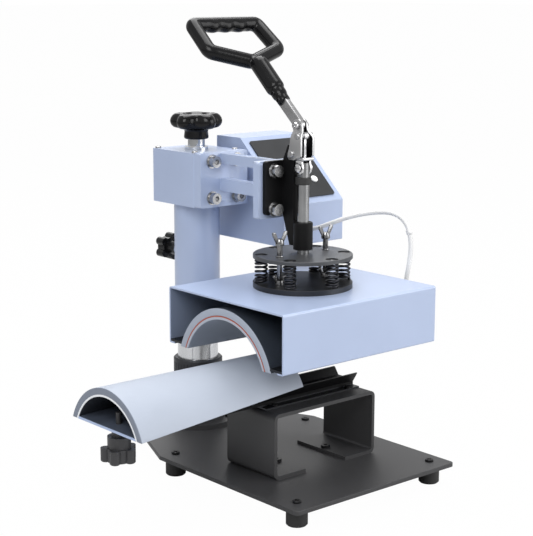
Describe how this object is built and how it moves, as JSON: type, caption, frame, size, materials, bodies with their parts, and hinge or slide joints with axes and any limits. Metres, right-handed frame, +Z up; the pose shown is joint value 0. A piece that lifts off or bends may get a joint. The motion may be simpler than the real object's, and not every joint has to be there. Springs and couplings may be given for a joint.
{
  "type": "shin guard heat press",
  "caption": "bench heat press with a swinging arm, toggle lever and heated half-round arch that presses down on a sliding half-round platen",
  "frame": {"origin": "on the floor under the middle of the four rubber feet", "axes": "+Z up, +X to the user's right along the drawer's travel, +Y away from the user towards the column"},
  "size_m": [0.4044, 0.376, 0.5135],
  "materials": {
    "blue_paint": "light blue powder coat",
    "black_paint": "black powder coat",
    "black_steel": "dark oxide steel",
    "steel": "brushed steel",
    "zinc": "zinc plated",
    "chrome": "polished chrome",
    "rubber": "matt black rubber",
    "black_plastic": "satin black plastic",
    "white_plastic": "white plastic",
    "panel": "dark grey film",
    "board": "green board",
    "pad": "grey-blue silicone",
    "heater": "brown-red heater sheet",
    "silicone": "light grey silicone",
    "aluminium": "satin aluminium",
    "white_cable": "white silicone jacket"
  },
  "bodies": {
    "base": {"base_plate": "black_paint", "rubber_feet": "rubber", "foot_screws": "zinc", "drawer_stand": "black_paint", "base_bolts": "zinc", "guide_rail": "black_steel", "rail_screws": "zinc", "column_socket": "black_paint", "swivel_post": "steel", "knurled_collar": "black_steel"},
    "lift_core": {"thrust_nut": "steel"},
    "swing_arm": {"column_tube": "blue_paint", "head_block": "blue_paint", "block_cover": "blue_paint", "small_screws": "zinc", "arm_frame": "blue_paint", "arm_bolts": "zinc", "arm_washers": "zinc", "clamp_bracket": "black_paint", "guide_sleeve": "black_paint", "pivot_pin": "steel", "box_bracket": "blue_paint", "control_case": "blue_paint", "control_panel": "panel", "circuit_board": "board", "mains_inlet": "black_plastic", "box_gland": "black_plastic", "heater_lead": "white_cable"},
    "clamp_star": {"clamp_knob": "black_plastic"},
    "pressure_wheel": {"pressure_knob": "black_plastic", "pressure_spindle": "chrome"},
    "key": {"panel_key": "white_plastic"},
    "rocker": {"power_rocker": "black_plastic"},
    "lever": {"lever_fork": "chrome", "lever_pin": "steel", "handle_bar": "chrome", "handle_grip": "black_plastic", "handle_bolts": "zinc"},
    "link": {"toggle_link": "chrome"},
    "plunger": {"plunger_rod": "chrome", "plunger_stop": "rubber", "plunger_pin": "steel", "upper_disc": "black_steel", "press_springs": "black_steel"},
    "heating_head": {"lower_disc": "black_steel", "lock_nuts": "black_steel", "press_housing": "blue_paint", "arch_liner": "pad", "arch_heater": "heater", "arch_cover": "silicone", "arch_strips": "black_steel", "head_gland": "black_plastic"},
    "left_wing": {"wing_bolt_left": "black_steel"},
    "right_wing": {"wing_bolt_right": "black_steel"},
    "drawer": {"slide_tray": "black_paint", "riser_blocks": "black_steel", "platen_floor": "aluminium", "platen_shell": "aluminium", "platen_pad": "pad"},
    "platen_star": {"platen_knob": "black_plastic"}
  },
  "joints": [
    {"name": "arm_swing", "type": "hinge", "parent": "base", "child": "lift_core", "pos_m": [0, 0.188, 0.322], "axis": [0, 0, 1], "range_deg": [-90, 90]},
    {"name": "head_lift", "type": "slide", "parent": "lift_core", "child": "swing_arm", "axis": [0, 0, 1], "range_m": [-0.003, 0.003]},
    {"name": "pressure_turn", "type": "hinge", "parent": "swing_arm", "child": "pressure_wheel", "pos_m": [0, 0.188, 0.39], "axis": [0, 0, 1], "range_deg": [-365, 365]},
    {"name": "clamp_turn", "type": "hinge", "parent": "swing_arm", "child": "clamp_star", "pos_m": [0, 0.23, 0.233], "axis": [0, 1, 0], "range_deg": [-180, 180]},
    {"name": "key_press", "type": "slide", "parent": "swing_arm", "child": "key", "axis": [0, 0.6787, -0.7344], "range_m": [0, 0.0012], "stiffness_N_per_m": 400, "springref_m": -0.001},
    {"name": "power_rock", "type": "hinge", "parent": "swing_arm", "child": "rocker", "pos_m": [0.11, 0.199, 0.298], "axis": [1, 0, 0], "range_deg": [-7, 7]},
    {"name": "lever_swing", "type": "hinge", "parent": "swing_arm", "child": "lever", "pos_m": [0, 0.009, 0.368], "axis": [1, 0, 0], "range_deg": [0, 147]},
    {"name": "link_swing", "type": "hinge", "parent": "lever", "child": "link", "pos_m": [0, 0, 0.388], "axis": [1, 0, 0], "range_deg": [-156.9, 0.5]},
    {"name": "plunger_slide", "type": "slide", "parent": "swing_arm", "child": "plunger", "axis": [0, 0, 1], "range_m": [-0.04152, 0.0003]},
    {"name": "head_float", "type": "slide", "parent": "plunger", "child": "heating_head", "axis": [0, 0, 1], "range_m": [0, 0.005], "stiffness_N_per_m": 6000, "springref_m": -0.003, "deforming": ["press_springs"]},
    {"name": "left_wing_turn", "type": "hinge", "parent": "heating_head", "child": "left_wing", "pos_m": [-0.034, 0, 0.28], "axis": [0, 0, 1], "continuous": true},
    {"name": "right_wing_turn", "type": "hinge", "parent": "heating_head", "child": "right_wing", "pos_m": [0.034, 0, 0.28], "axis": [0, 0, 1], "continuous": true},
    {"name": "drawer_slide", "type": "slide", "parent": "base", "child": "drawer", "axis": [1, 0, 0], "range_m": [0, 0.152]},
    {"name": "platen_star_turn", "type": "hinge", "parent": "drawer", "child": "platen_star", "pos_m": [-0.249, 0, 0.085], "axis": [0, 0, 1], "continuous": true}
  ],
  "couplings": [
    {"joint": "pressure_turn", "follows": "head_lift", "rad_per_m": 2094.4},
    {"joint": "plunger_slide", "follows": "lever_swing", "m_per_rad": -0.016064},
    {"joint": "link_swing", "follows": "lever_swing", "ratio": -1.0633}
  ]
}
